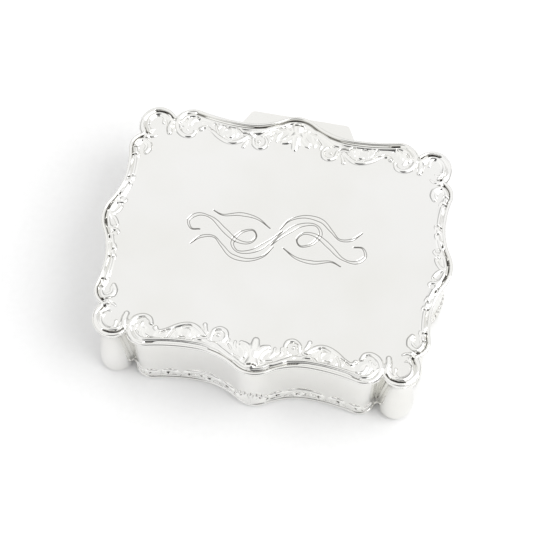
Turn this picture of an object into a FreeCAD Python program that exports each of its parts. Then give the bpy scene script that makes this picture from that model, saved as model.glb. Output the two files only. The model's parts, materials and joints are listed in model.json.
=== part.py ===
"""Vanity trinket box: a silver-plated serpentine box with a hinged lid, scroll borders,
four swelling corner pillars, a knuckle hinge behind the rear crest and a velvet-lined well.

Frame: origin on the underside at the centre of the plan, +X to the right along the long
side, +Y to the rear where the hinge is, +Z up.  All sizes are in millimetres.
"""
import FreeCAD
import Part

import math
import os
from FreeCAD import Vector

# ---------------------------------------------------------------- driving dimensions
# Plan of the lid edge, one quarter of it; the other three quarters are mirrored.
half_length = 63.5          # crest of the short side, from the centre
half_depth = 51.3           # crest of the long side, from the centre
long_scroll_inset = 25.2    # top of the scroll bulge on the long side, in from the half length
long_scroll_rise = 2.1      # how far that bulge stands out of the dip beside it
long_scroll_radius = 7.0
long_dip_reach = 18.3       # from that bulge to where the long side is drawn in furthest
long_dip_drop = 5.9         # how far it is drawn in behind its crest
long_crest_radius = 11.0
short_scroll_inset = 22.5   # top of the bulge on the short side, in from the half depth
short_scroll_rise = 1.2
short_scroll_radius = 6.2
short_dip_reach = 10.3
short_dip_drop = 4.9
short_crest_radius = 12.0
lobe_inset_x = 12.7         # centre of the round corner lobe, in from the half length
lobe_inset_y = 11.9         # and in from the half depth
lobe_radius = 6.8
notch_radius = 0.6          # rounding of the two notches beside each corner lobe

# Heights
body_height = 34.7          # top of the body rim
felt_thickness = 1.0
base_plate_thickness = 1.0
rim_thickness = 0.8
lid_gap = 0.1               # lid edge lies this far above the body rim
lid_sheet = 0.8
edge_bead_rise = 0.7        # the lid's edge bead above its sheet
border_rise = 1.2           # plain ground of the lid's scroll border above the sheet
scroll_rise = 1.8           # highest scrolls of the border above the sheet

# Walls and margins, measured inwards from the lid edge
edge_bead_width = 1.3
rim_setback = 0.3
wall_setback = 1.3
wall_thickness = 1.0
lining_thickness = 1.0
lid_card_margin = 1.8       # lid card inside the lining's outer face
lid_pad_margin = 0.4        # pad inside its card
felt_margin = 0.7           # felt inside the wall's outer face
border_band_width = 3.6     # plain ground of the lid's scroll border

# Raised work of the lid's scroll border
volute_radius = 4.3
volute_shift = (1.6, 0.5)   # from the centre of the long side's bulge, outwards
side_volute_radius = 3.6
side_volute_shift = (1.2, 1.0)
swag_volute_radius = 2.4
swag_volute_x = 12.8
swag_volute_inset = 12.2    # in from the half depth
lobe_hollow_radius = 3.4    # plain sunk disc in each corner lobe
lobe_hollow_shift = 0.4     # towards the middle of the lid
palmette = [(3.4, 3.9), (4.6, 10.0), (2.4, 12.8), (0.0, 14.4)]   # half width, inset from the crest

# Wall ends at the corners, where the pillars cover them
long_scroll_end_angle = 12.0
short_scroll_end_angle = 78.0

# Base border
base_border_lift = 0.3
base_border_height = 9.6
base_border_foot = 2.0      # height of the plain bead at its foot
base_border_top_reach = 0.5
base_border_foot_setback = 0.1

# Corner pillars: radii at heights, from the foot to under the rim
pillar_inset_x = 12.1
pillar_inset_y = 11.1
pillar_foot_radius = 4.3
pillar_toe_radius = 5.8
pillar_toe_height = 1.3
pillar_belly_radius = 6.4
pillar_belly_height = 4.8
pillar_waist_radius = 4.85
pillar_waist_height = 21.5
pillar_neck_radius = 5.6

# Lining
lid_card_thickness = 0.8
lid_pad_thickness = 1.4
floor_card_thickness = 0.8
floor_pad_thickness = 2.2
lining_drop = 1.7           # top of the wall lining below the body rim
lining_fit = 0.15           # floor pad and card clear of the lining
card_fit = 0.2              # lid card clear of the hinge leaf

# Hinge
hinge_width = 34.0          # length of the barrel
hinge_root_flare = 8.0      # leaf and bracket are this much wider where they meet the box
hinge_tip_margin = 1.0      # and this much past the barrel's end, each side, at their rear edge
hinge_axis_setback = 0.3    # barrel axis in from the rear crest line
barrel_radius = 0.95
pin_radius = 0.45
pin_clearance = 0.05        # radial, in the lid's knuckles
pin_head_radius = 0.8
pin_head_length = 0.5
knuckles = 5
knuckle_gap = 0.2
leaf_thickness = 0.65
leaf_lap = 0.35             # leaf's rear edge past the barrel axis
leaf_corner_radius = 1.8
leaf_gap = 0.2              # between the leaf and the body's knuckles
barrel_clearance = 0.3      # round the barrel, in the bracket
bracket_height = 13.0
bracket_slope_height = 7.15 # the bracket's underside slopes in over this height
bracket_foot_reach = 2.2    # how far the bracket's foot stands out of the dip
bracket_top_gap = 0.4       # bracket's top below the leaf
notch_clearance = 0.4       # body rim's notch wider than the leaf, each side

cut_over = 1.0              # how far a cutting solid runs past what it cuts

# ---------------------------------------------------------------- sizes that follow
base_plate_bottom = felt_thickness
floor_level = base_plate_bottom + base_plate_thickness
rim_bottom = body_height - rim_thickness
lid_bottom = body_height + lid_gap
lid_top = lid_bottom + lid_sheet
lining_setback = wall_setback + wall_thickness
well_setback = lining_setback + lining_thickness
long_scroll_x = half_length - long_scroll_inset
long_dip_x = long_scroll_x - long_dip_reach
short_scroll_y = half_depth - short_scroll_inset
short_dip_y = short_scroll_y - short_dip_reach

# ---------------------------------------------------------------- plan outlines


def two_arc_sum(reach, rise):
    """Sum of the radii of two arcs that meet in a smooth S over this reach and rise."""
    return (reach * reach + rise * rise) / (2.0 * rise)


def arc_centres():
    """Centres and lid-edge radii of one quarter's arcs.  Hollow arcs have negative radii."""
    dip_y = half_depth - long_dip_drop
    dip_x = half_length - short_dip_drop
    crest_sum = two_arc_sum(long_dip_x, long_dip_drop)
    scroll_sum = two_arc_sum(long_scroll_x - long_dip_x, long_scroll_rise)
    side_crest_sum = two_arc_sum(short_dip_y, short_dip_drop)
    side_scroll_sum = two_arc_sum(short_scroll_y - short_dip_y, short_scroll_rise)
    crest_hollow = crest_sum - long_crest_radius
    scroll_hollow = scroll_sum - long_scroll_radius
    side_crest_hollow = side_crest_sum - short_crest_radius
    side_scroll_hollow = side_scroll_sum - short_scroll_radius
    long_scroll_top = dip_y + long_scroll_rise
    short_scroll_top = dip_x + short_scroll_rise
    arcs = {
        "long_crest": (0.0, half_depth - long_crest_radius, long_crest_radius),
        "long_hollow_in": (long_dip_x, dip_y + crest_hollow, -crest_hollow),
        "long_hollow_out": (long_dip_x, dip_y + scroll_hollow, -scroll_hollow),
        "long_scroll": (long_scroll_x, long_scroll_top - long_scroll_radius, long_scroll_radius),
        "lobe": (half_length - lobe_inset_x, half_depth - lobe_inset_y, lobe_radius),
        "short_scroll": (short_scroll_top - short_scroll_radius, short_scroll_y, short_scroll_radius),
        "short_hollow_out": (dip_x + side_scroll_hollow, short_dip_y, -side_scroll_hollow),
        "short_hollow_in": (dip_x + side_crest_hollow, short_dip_y, -side_crest_hollow),
        "short_crest": (half_length - short_crest_radius, 0.0, short_crest_radius),
    }
    arcs["long_notch"] = notch_between(arcs["long_scroll"], arcs["lobe"])
    arcs["short_notch"] = notch_between(arcs["lobe"], arcs["short_scroll"])
    return arcs


def notch_between(first, second):
    """Small hollow arc that touches two neighbouring bulges from outside."""
    x1, y1, r1 = first
    x2, y2, r2 = second
    reach_1 = r1 + notch_radius
    reach_2 = r2 + notch_radius
    span = math.hypot(x2 - x1, y2 - y1)
    along = (span * span + reach_1 * reach_1 - reach_2 * reach_2) / (2.0 * span)
    across = math.sqrt(reach_1 * reach_1 - along * along)
    ux = (x2 - x1) / span
    uy = (y2 - y1) / span
    return (x1 + ux * along - uy * across, y1 + uy * along + ux * across, -notch_radius)


ARCS = arc_centres()


def on_arc(name, setback, angle):
    """Point of a named arc, set back from the lid edge, at an angle in degrees."""
    x, y, radius = ARCS[name]
    reach = radius - setback
    turn = math.radians(angle)
    return (x + reach * math.cos(turn), y + reach * math.sin(turn))


def smooth_joint(first, second, setback):
    """Point where a swelling arc runs smoothly into a hollow one."""
    x1, y1, r1 = ARCS[first]
    x2, y2, _ = ARCS[second]
    span = math.hypot(x2 - x1, y2 - y1)
    reach = (r1 - setback) / span
    return (x1 + (x2 - x1) * reach, y1 + (y2 - y1) * reach)


def middle_of(name, setback, start, end):
    """Point of a named arc half way between two of its points."""
    x, y, radius = ARCS[name]
    reach = abs(radius - setback)
    mx = (start[0] + end[0]) / 2.0 - x
    my = (start[1] + end[1]) / 2.0 - y
    size = math.hypot(mx, my)
    return (x + mx * reach / size, y + my * reach / size)


def quarter(setback, with_lobe):
    """Runs of one quarter from the long crest to the short crest: start, middle or None, end."""
    crest_top = (0.0, half_depth - setback)
    joint_1 = smooth_joint("long_crest", "long_hollow_in", setback)
    dip = (long_dip_x, half_depth - long_dip_drop - setback)
    joint_2 = smooth_joint("long_scroll", "long_hollow_out", setback)
    joint_3 = smooth_joint("short_scroll", "short_hollow_out", setback)
    side_dip = (half_length - short_dip_drop - setback, short_dip_y)
    joint_4 = smooth_joint("short_crest", "short_hollow_in", setback)
    side_crest = (half_length - setback, 0.0)
    if with_lobe:
        corner_1 = smooth_joint("long_scroll", "long_notch", setback)
        corner_2 = smooth_joint("short_scroll", "short_notch", setback)
        lobe_1 = smooth_joint("lobe", "long_notch", setback)
        lobe_2 = smooth_joint("lobe", "short_notch", setback)
        corner = [
            ("long_notch", corner_1, lobe_1),
            ("lobe", lobe_1, lobe_2),
            ("short_notch", lobe_2, corner_2),
        ]
    else:
        corner_1 = on_arc("long_scroll", setback, long_scroll_end_angle)
        corner_2 = on_arc("short_scroll", setback, short_scroll_end_angle)
        corner = [(None, corner_1, corner_2)]
    steps = [
        ("long_crest", crest_top, joint_1),
        ("long_hollow_in", joint_1, dip),
        ("long_hollow_out", dip, joint_2),
        ("long_scroll", joint_2, corner_1),
    ]
    steps += corner
    steps += [
        ("short_scroll", corner_2, joint_3),
        ("short_hollow_out", joint_3, side_dip),
        ("short_hollow_in", side_dip, joint_4),
        ("short_crest", joint_4, side_crest),
    ]
    runs = []
    for name, start, end in steps:
        middle = middle_of(name, setback, start, end) if name else None
        runs.append((start, middle, end))
    return runs


def mirrored(runs, sign_x, sign_y):
    """The same runs in another quarter."""
    flipped = []
    for run in runs:
        flipped.append(tuple((p[0] * sign_x, p[1] * sign_y) if p else None for p in run))
    return flipped


def backwards(runs):
    return [(end, middle, start) for start, middle, end in reversed(runs)]


def outline_wire(setback, with_lobe, level):
    """Closed serpentine outline at a height."""
    runs = quarter(setback, with_lobe)
    loop = list(runs)
    loop += backwards(mirrored(runs, 1, -1))
    loop += mirrored(runs, -1, -1)
    loop += backwards(mirrored(runs, -1, 1))
    edges = []
    for start, middle, end in loop:
        a = Vector(start[0], start[1], level)
        b = Vector(end[0], end[1], level)
        if middle is None:
            edges.append(Part.makeLine(a, b))
        else:
            edges.append(Part.Arc(a, Vector(middle[0], middle[1], level), b).toShape())
    return Part.Wire(edges)


def plate(setback, bottom, top, with_lobe=False):
    """Solid of the serpentine outline between two heights."""
    face = Part.Face(outline_wire(setback, with_lobe, bottom))
    return face.extrude(Vector(0, 0, top - bottom))


def ring(outer_setback, inner_setback, bottom, top, with_lobe=False):
    """Wall between two setbacks.  Its inner face never follows the corner lobes."""
    return plate(outer_setback, bottom, top, with_lobe).cut(plate(inner_setback, bottom, top))


def prism(points, bottom, top):
    """Upright solid on a polygon."""
    corners = [Vector(x, y, bottom) for x, y in points]
    face = Part.Face(Part.makePolygon(corners + [corners[0]]))
    return face.extrude(Vector(0, 0, top - bottom))


# ---------------------------------------------------------------- body


def corner_places():
    """Names and signs of the four corners."""
    places = []
    for end, sign_y in (("front", -1), ("rear", 1)):
        for side, sign_x in (("left", -1), ("right", 1)):
            places.append((end + "_" + side, sign_x, sign_y))
    return places


def pillar(sign_x, sign_y):
    """Whole swelling pillar: rounded foot, belly near the floor, waist, neck under the rim."""
    foot = Vector(pillar_foot_radius, 0, 0)
    toe = Vector(pillar_toe_radius, 0, pillar_toe_height)
    belly = Vector(pillar_belly_radius, 0, pillar_belly_height)
    waist = Vector(pillar_waist_radius, 0, pillar_waist_height)
    neck = Vector(pillar_neck_radius, 0, rim_bottom)
    curve = Part.BSplineCurve()
    curve.interpolate([foot, toe, belly, waist, neck])
    top = Vector(0, 0, rim_bottom)
    edges = [
        Part.makeLine(Vector(0, 0, 0), foot),
        curve.toShape(),
        Part.makeLine(neck, top),
        Part.makeLine(top, Vector(0, 0, 0)),
    ]
    solid = Part.Face(Part.Wire(edges)).revolve(Vector(0, 0, 0), Vector(0, 0, 1), 360)
    x = sign_x * (half_length - pillar_inset_x)
    y = sign_y * (half_depth - pillar_inset_y)
    solid.translate(Vector(x, y, 0))
    return solid


def body_wall():
    return ring(wall_setback, lining_setback, base_plate_bottom, rim_bottom)


def base_plate():
    return plate(lining_setback, base_plate_bottom, floor_level)


def corner_pillar(sign_x, sign_y):
    """Pillar fitted against the outside of the wall."""
    return pillar(sign_x, sign_y).cut(plate(wall_setback, 0, rim_bottom))


def hinge_span(clearance, rear):
    """Plan of the hinge: wide where it meets the box, narrower at the barrel."""
    root = (hinge_width + hinge_root_flare) / 2.0 + clearance
    tip = hinge_width / 2.0 + hinge_tip_margin + clearance
    front = half_depth - long_dip_drop - lining_setback - clearance
    shoulder = half_depth - long_dip_drop
    return [(-root, front), (root, front), (root, shoulder), (tip, rear), (-tip, rear), (-root, shoulder)]


def body_rim():
    """Flat rim over wall and pillars, notched at the rear for the lid's hinge leaf."""
    rim = ring(rim_setback, lining_setback, rim_bottom, body_height, with_lobe=True)
    notch = prism(hinge_span(notch_clearance, half_depth + cut_over), rim_bottom, body_height)
    return rim.cut(notch)


def base_border():
    """Ornamental skirt round the foot of the wall, between the pillars."""
    foot_top = base_border_lift + base_border_foot
    top = base_border_lift + base_border_height
    foot = ring(base_border_foot_setback, wall_setback, base_border_lift, foot_top)
    band_setback = wall_setback - base_border_top_reach
    band = ring(band_setback, wall_setback, foot_top, top)
    border = foot.fuse(band)
    for _, sign_x, sign_y in corner_places():
        border = border.cut(pillar(sign_x, sign_y))
    return border.removeSplitter()


def base_felt():
    felt = plate(wall_setback + felt_margin, 0, felt_thickness)
    for _, sign_x, sign_y in corner_places():
        felt = felt.cut(pillar(sign_x, sign_y))
    return felt


# ---------------------------------------------------------------- hinge

axis_y = half_depth - hinge_axis_setback
leaf_bottom = lid_bottom - leaf_thickness
axis_z = leaf_bottom - leaf_gap - barrel_radius
leaf_rear = axis_y + leaf_lap
bracket_top = leaf_bottom - bracket_top_gap


def along_barrel(radius, start, end):
    """Cylinder on the hinge axis between two places across the box."""
    return Part.makeCylinder(radius, end - start, Vector(start, axis_y, axis_z), Vector(1, 0, 0))


def knuckle_spans(first):
    """Every second knuckle's start and end, from the first or the second one on."""
    length = (hinge_width - (knuckles - 1) * knuckle_gap) / knuckles
    spans = []
    for index in range(first, knuckles, 2):
        start = -hinge_width / 2.0 + index * (length + knuckle_gap)
        spans.append((start, start + length))
    return spans


def lid_hinge_leaf():
    """Leaf under the lid's rear edge with its knuckles, bored to turn on the pin."""
    leaf = prism(hinge_span(0, leaf_rear), leaf_bottom, lid_bottom)
    corners = [edge for edge in leaf.Edges
               if edge.BoundBox.ZLength > leaf_thickness / 2 and edge.BoundBox.YMin > leaf_rear - 0.01]
    leaf = leaf.makeFillet(leaf_corner_radius, corners)
    for start, end in knuckle_spans(1):
        web = Part.makeBox(end - start, leaf_lap * 2, leaf_bottom - axis_z)
        web.translate(Vector(start, axis_y - leaf_lap, axis_z))
        leaf = leaf.fuse([along_barrel(barrel_radius, start, end), web])
    for start, end in knuckle_spans(1):
        bore = along_barrel(pin_radius + pin_clearance, start - knuckle_gap, end + knuckle_gap)
        leaf = leaf.cut(bore)
    return leaf.removeSplitter()


def hinge_bracket():
    """Lug that fills the rear recess beside the crest and carries the body's knuckles."""
    rear = half_depth
    bottom = bracket_top - bracket_height
    lug = prism(hinge_span(0, rear), bottom, bracket_top)
    lug = lug.cut(under_slope(rear, bottom))
    channel = barrel_radius + barrel_clearance
    lug = lug.cut(along_barrel(channel, -hinge_width, hinge_width))
    slot = Part.makeBox(2 * hinge_width, rear, barrel_radius + bracket_top)
    slot.translate(Vector(-hinge_width, axis_y - channel, axis_z))
    lug = lug.cut(slot)
    for start, end in knuckle_spans(0):
        web = Part.makeBox(end - start, channel + barrel_radius, barrel_radius)
        web.translate(Vector(start, axis_y - channel - barrel_radius / 2.0, axis_z - barrel_radius))
        post = Part.makeBox(end - start, barrel_radius, channel + barrel_radius / 2.0)
        post.translate(Vector(start, axis_y - barrel_radius, axis_z - channel - barrel_radius / 2.0))
        lug = lug.fuse([along_barrel(barrel_radius, start, end), web, post])
    lug = lug.cut(along_barrel(pin_radius, -hinge_width, hinge_width))
    lug = lug.cut(plate(wall_setback, 0, rim_bottom))
    return lug.removeSplitter()


def under_slope(rear, bottom):
    """Wedge taken off the lug's underside, so that it runs in to the wall below."""
    foot = half_depth - long_dip_drop + bracket_foot_reach
    slope_top = bottom + bracket_slope_height
    side = [(foot, bottom), (rear + cut_over, bottom), (rear + cut_over, slope_top), (rear, slope_top)]
    corners = [Vector(-hinge_width, y, z) for y, z in side]
    return Part.Face(Part.makePolygon(corners + [corners[0]])).extrude(Vector(2 * hinge_width, 0, 0))


def hinge_pin():
    """Pin right through the barrel, upset at both ends."""
    half = hinge_width / 2.0
    pin = along_barrel(pin_radius, -half, half)
    heads = [along_barrel(pin_head_radius, half, half + pin_head_length)]
    heads.append(along_barrel(pin_head_radius, -half - pin_head_length, -half))
    return pin.fuse(heads).removeSplitter()


# ---------------------------------------------------------------- lid


def lid_plate():
    return plate(edge_bead_width, lid_bottom, lid_top, with_lobe=True)


def lid_edge_bead():
    """Plain raised bead round the edge of the lid."""
    outer = plate(0, lid_bottom, lid_top + edge_bead_rise, with_lobe=True)
    return outer.cut(plate(edge_bead_width, lid_bottom, lid_top + edge_bead_rise, with_lobe=True))


def disc(x, y, radius, rise):
    return Part.makeCylinder(radius, rise, Vector(x, y, lid_top))


def lid_border():
    """Scroll border on the lid: a plain ground with its volutes, sunk lobes and crest leaves."""
    ground_top = lid_top + border_rise
    border = plate(edge_bead_width, lid_top, ground_top, with_lobe=True)
    border = border.cut(plate(edge_bead_width + border_band_width, lid_top, ground_top))
    volute_x = ARCS["long_scroll"][0] + volute_shift[0]
    volute_y = ARCS["long_scroll"][1] + volute_shift[1]
    side_x = ARCS["short_scroll"][0] + side_volute_shift[0]
    side_y = ARCS["short_scroll"][1] + side_volute_shift[1]
    lobe_x = ARCS["lobe"][0] - lobe_hollow_shift
    lobe_y = ARCS["lobe"][1] - lobe_hollow_shift
    swag_y = half_depth - swag_volute_inset
    raised = []
    for _, sign_x, sign_y in corner_places():
        raised.append(disc(sign_x * volute_x, sign_y * volute_y, volute_radius, scroll_rise))
        raised.append(disc(sign_x * side_x, sign_y * side_y, side_volute_radius, scroll_rise))
        raised.append(disc(sign_x * swag_volute_x, sign_y * swag_y, swag_volute_radius, scroll_rise))
        border = border.cut(disc(sign_x * lobe_x, sign_y * lobe_y, lobe_hollow_radius, scroll_rise))
    for sign_y in (-1, 1):
        right = [(half, sign_y * (half_depth - inset)) for half, inset in palmette]
        left = [(-x, y) for x, y in reversed(right[:-1])]
        raised.append(prism(right + left, lid_top, lid_top + scroll_rise))
    inside_bead = plate(edge_bead_width, lid_top, lid_top + scroll_rise, with_lobe=True)
    return border.fuse(raised).common(inside_bead).removeSplitter()


def lid_card():
    """Card under the lid, cut out round the hinge leaf."""
    bottom = lid_bottom - lid_card_thickness
    card = plate(lining_setback + lid_card_margin, bottom, lid_bottom)
    return card.cut(prism(hinge_span(card_fit, leaf_rear), bottom, lid_bottom))


def lid_pad():
    setback = lining_setback + lid_card_margin + lid_pad_margin
    top = lid_bottom - lid_card_thickness
    return plate(setback, top - lid_pad_thickness, top)


# ---------------------------------------------------------------- lining of the well


def wall_lining():
    return ring(lining_setback, well_setback, floor_level, body_height - lining_drop)


def floor_card():
    return plate(well_setback + lining_fit, floor_level, floor_level + floor_card_thickness)


def floor_pad():
    bottom = floor_level + floor_card_thickness
    return plate(well_setback + lining_fit, bottom, bottom + floor_pad_thickness)


# ---------------------------------------------------------------- write every piece


def all_parts():
    parts = {
        "body_wall": body_wall(),
        "base_plate": base_plate(),
        "body_rim": body_rim(),
        "base_border": base_border(),
        "base_felt": base_felt(),
        "hinge_bracket": hinge_bracket(),
        "hinge_pin": hinge_pin(),
        "wall_lining": wall_lining(),
        "floor_card": floor_card(),
        "floor_pad": floor_pad(),
        "lid_plate": lid_plate(),
        "lid_edge_bead": lid_edge_bead(),
        "lid_border": lid_border(),
        "lid_hinge_leaf": lid_hinge_leaf(),
        "lid_card": lid_card(),
        "lid_pad": lid_pad(),
    }
    for name, sign_x, sign_y in corner_places():
        parts["corner_pillar_" + name] = corner_pillar(sign_x, sign_y)
    return parts


os.makedirs("parts", exist_ok=True)
for node, shape in all_parts().items():
    shape.exportStep("parts/" + node + ".step")
    box = shape.BoundBox
    size = "x %.2f..%.2f y %.2f..%.2f z %.2f..%.2f" % (
        box.XMin, box.XMax, box.YMin, box.YMax, box.ZMin, box.ZMax)
    print(node, "solids", len(shape.Solids), "valid", shape.isValid(), "volume %.1f" % shape.Volume, size)
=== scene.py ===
"""Looks of the vanity trinket box: cast scroll work on lid and foot, engraved flourish, polished
silver plate, velvet well.  Sizes are in millimetres in the frame's own axes, and become metres where
a mesh is made."""
import json
import math

import bpy
import numpy as np
from mathutils import Matrix, Vector


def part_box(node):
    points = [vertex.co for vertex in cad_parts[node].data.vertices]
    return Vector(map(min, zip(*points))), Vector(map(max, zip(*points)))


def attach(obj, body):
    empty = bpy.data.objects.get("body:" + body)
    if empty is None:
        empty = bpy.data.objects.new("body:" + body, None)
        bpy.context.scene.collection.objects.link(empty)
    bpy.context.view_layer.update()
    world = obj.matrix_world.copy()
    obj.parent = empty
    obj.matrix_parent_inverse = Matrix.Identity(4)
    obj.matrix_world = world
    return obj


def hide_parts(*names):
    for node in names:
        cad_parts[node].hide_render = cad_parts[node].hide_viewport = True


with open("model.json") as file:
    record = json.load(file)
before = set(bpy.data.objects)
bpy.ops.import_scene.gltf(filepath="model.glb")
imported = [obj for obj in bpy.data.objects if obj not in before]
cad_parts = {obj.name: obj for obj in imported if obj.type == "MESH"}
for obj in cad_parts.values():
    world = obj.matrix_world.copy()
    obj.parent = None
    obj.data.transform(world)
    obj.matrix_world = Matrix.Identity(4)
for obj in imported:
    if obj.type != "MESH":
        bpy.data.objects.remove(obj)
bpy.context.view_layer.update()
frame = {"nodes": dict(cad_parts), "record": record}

MM = 0.001


def extent(node):
    """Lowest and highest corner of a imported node, in millimetres."""
    low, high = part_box(node)
    return np.array(low) / MM, np.array(high) / MM


# ---------------------------------------------------------------- sizes taken from the frame
HALF_LENGTH, HALF_DEPTH, BEAD_TOP = extent("lid_edge_bead")[1]
LID_BOTTOM = extent("lid_edge_bead")[0][2]
LID_TOP = extent("lid_plate")[1][2]
RELIEF_TOP = extent("lid_border")[1][2]
BEAD_WIDTH = HALF_LENGTH - extent("lid_plate")[1][0]
WALL_SETBACK = HALF_LENGTH - extent("body_wall")[1][0]
BORDER_BOTTOM, BORDER_TOP = extent("base_border")[0][2], extent("base_border")[1][2]
BORDER_SETBACK = HALF_LENGTH - extent("base_border")[1][0]

# ---------------------------------------------------------------- plan of the lid edge
LONG_SCROLL = (38.3, 40.5, 7.0)
SHORT_SCROLL = (53.6, 28.8, 6.2)
LOBE = (50.8, 39.4, 6.8)
LONG_CREST = (0.0, HALF_DEPTH - 11.0, 11.0)
SHORT_CREST = (HALF_LENGTH - 12.0, 0.0, 12.0)
LONG_DIP = (20.0, HALF_DEPTH - 5.9)
SHORT_DIP = (HALF_LENGTH - 4.9, 18.5)
NOTCH_RADIUS = 0.6
OUTLINE_STEP = 0.5
JOINED_GAP = 2.0
WALL_END_ANGLES = (12.0, 78.0)


def hollow_beside(dip, bulge, axis):
    """Hollow arc whose bottom is the dip and which touches the bulge: its centre lies straight
    out from the dip, at the radius where the two circles meet."""
    across = bulge[0] - dip[0] if axis == 1 else bulge[1] - dip[1]
    rise = bulge[axis] + bulge[2] - dip[axis]
    both = (across * across + rise * rise) / (2.0 * rise)
    radius = both - bulge[2]
    centre = list(dip)
    centre[axis] += radius
    return (centre[0], centre[1], -radius)


def notch_between(first, second):
    """Small hollow arc that touches two bulges, at the crossing of their grown circles."""
    reach_1 = first[2] + NOTCH_RADIUS
    reach_2 = second[2] + NOTCH_RADIUS
    dx = second[0] - first[0]
    dy = second[1] - first[1]
    span = math.hypot(dx, dy)
    along = (span * span + reach_1 * reach_1 - reach_2 * reach_2) / (2.0 * span)
    across = math.sqrt(reach_1 * reach_1 - along * along)
    x = first[0] + (dx * along - dy * across) / span
    y = first[1] + (dy * along + dx * across) / span
    return (x, y, -NOTCH_RADIUS)


def quarter_arcs(lobed):
    """Arcs of one quarter, long crest to short crest: centre, signed radius, start and end angle."""
    long_in = hollow_beside(LONG_DIP, LONG_CREST, 1)
    long_out = hollow_beside(LONG_DIP, LONG_SCROLL, 1)
    short_out = hollow_beside(SHORT_DIP, SHORT_SCROLL, 0)
    short_in = hollow_beside(SHORT_DIP, SHORT_CREST, 0)
    chain = [LONG_CREST, long_in, long_out, LONG_SCROLL]
    if lobed:
        chain += [notch_between(LONG_SCROLL, LOBE), LOBE, notch_between(LOBE, SHORT_SCROLL)]
    chain += [SHORT_SCROLL, short_out, short_in, SHORT_CREST]

    def toward(a, b):
        return math.atan2(b[1] - a[1], b[0] - a[0])

    arcs = []
    for index, arc in enumerate(chain):
        before = chain[index - 1] if index else None
        after = chain[index + 1] if index + 1 < len(chain) else None
        start = toward(arc, before) if before else math.pi / 2
        end = toward(arc, after) if after else 0.0
        if arc is long_in:
            end = -math.pi / 2
        if arc is long_out:
            start = -math.pi / 2
        if arc is short_out:
            end = math.pi
        if arc is short_in:
            start = math.pi
        if not lobed and arc is LONG_SCROLL:
            end = math.radians(WALL_END_ANGLES[0])
        if not lobed and arc is SHORT_SCROLL:
            start = math.radians(WALL_END_ANGLES[1])
        turn = (end - start + math.pi) % (2 * math.pi) - math.pi
        arcs.append((arc, start, start + turn))
    return arcs


def quarter_line(setback, lobed):
    """Points of one quarter's outline, each arc drawn in by the setback about its own centre. Arcs
    that don't meet are joined by a straight run."""
    runs = []
    for (x, y, radius), start, end in quarter_arcs(lobed):
        steps = max(4, int(abs(radius * (end - start)) / OUTLINE_STEP))
        angle = np.linspace(start, end, steps + 1)
        reach = abs(radius - setback)
        runs.append(np.stack([x + reach * np.cos(angle), y + reach * np.sin(angle)], 1))
    points = [runs[0]]
    for run in runs[1:]:
        gap = np.hypot(*(run[0] - points[-1][-1]))
        if gap > JOINED_GAP:
            share = np.linspace(0, 1, int(gap / OUTLINE_STEP) + 1)[1:-1, None]
            points.append(points[-1][-1] * (1 - share) + run[0] * share)
            points.append(run)
        else:
            points.append(run[1:])
    return np.concatenate(points)


def outline(setback, lobed=True):
    """Whole outline, anticlockwise seen from above, starting at the right crest."""
    quarter = quarter_line(setback, lobed)[::-1]
    top = np.concatenate([quarter, (quarter * (-1, 1))[::-1][1:]])
    bottom = (top * (-1, -1))[1:-1]
    return np.concatenate([top, bottom])


def normals_of(line):
    """Unit normals on the left hand of a line of points."""
    step = np.gradient(line, axis=0)
    return np.column_stack([-step[:, 1], step[:, 0]]) / np.hypot(step[:, 0], step[:, 1])[:, None]


def length_along(line):
    """How far along a line of points each of them lies."""
    return np.concatenate([[0.0], np.cumsum(np.hypot(*np.diff(line, axis=0).T))])


# ---------------------------------------------------------------- mesh making


def make_piece(name, points, faces, body, material, sharp, replaced):
    """Mesh object from points in millimetres and faces, smooth apart from edges over the angle. It
    shows in place of the replaced node."""
    mesh = bpy.data.meshes.new(name)
    mesh.from_pydata((np.asarray(points, float) * MM).tolist(), [], faces)
    mesh.validate()
    mesh.shade_smooth()
    mesh.set_sharp_from_angle(angle=math.radians(sharp))
    mesh.materials.append(material)
    piece = bpy.data.objects.new(name, mesh)
    bpy.context.scene.collection.objects.link(piece)
    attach(piece, body)
    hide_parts(replaced)
    return piece


def loop_faces(rows, columns):
    """Quads of a grid that closes both ways, row by row, facing out for an anticlockwise row
    order and a profile that runs up on the outside."""
    i = np.arange(rows)[:, None]
    j = np.arange(columns)[None, :]
    a = i * columns + j
    b = (i + 1) % rows * columns + j
    c = (i + 1) % rows * columns + (j + 1) % columns
    d = i * columns + (j + 1) % columns
    return np.stack([a, b, c, d], 2).reshape(-1, 4).tolist()


def carried(profile):
    """Points of a closed profile, (setback, height) pairs, carried round the lid's outline."""
    rows = []
    for setback, height in profile:
        line = outline(setback)
        rows.append(np.column_stack([line, np.full(len(line), height)]))
    return np.stack(rows, 1)


def arc_points(centre, radius, start, end, count):
    """Points on an arc in the profile's plane, angles in degrees."""
    angle = np.radians(np.linspace(start, end, count))
    return [(centre[0] + radius[0] * math.cos(a), centre[1] + radius[1] * math.sin(a)) for a in angle]


# ---------------------------------------------------------------- curves and relief


def smooth_path(points, step=0.12):
    """Curve through given points: each span is the cubic of Catmull and Rom, whose slope at a
    point is half the step between its two neighbours."""
    p = np.asarray(points, float)
    p = np.concatenate([2 * p[:1] - p[1:2], p, 2 * p[-1:] - p[-2:-1]])
    spans = []
    for a, b, c, d in zip(p[:-3], p[1:-2], p[2:-1], p[3:]):
        count = max(2, int(np.hypot(*(c - b)[:2]) / step))
        t = np.linspace(0, 1, count, endpoint=False)[:, None]
        spans.append(0.5 * (2 * b + (c - a) * t + (2 * a - 5 * b + 4 * c - d) * t**2
                            + (3 * b - a - 3 * c + d) * t**3))
    return np.concatenate(spans + [p[-2:-1]])


RIDGE_LIFT = 0.35
BALL_LIFT = 0.42


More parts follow.
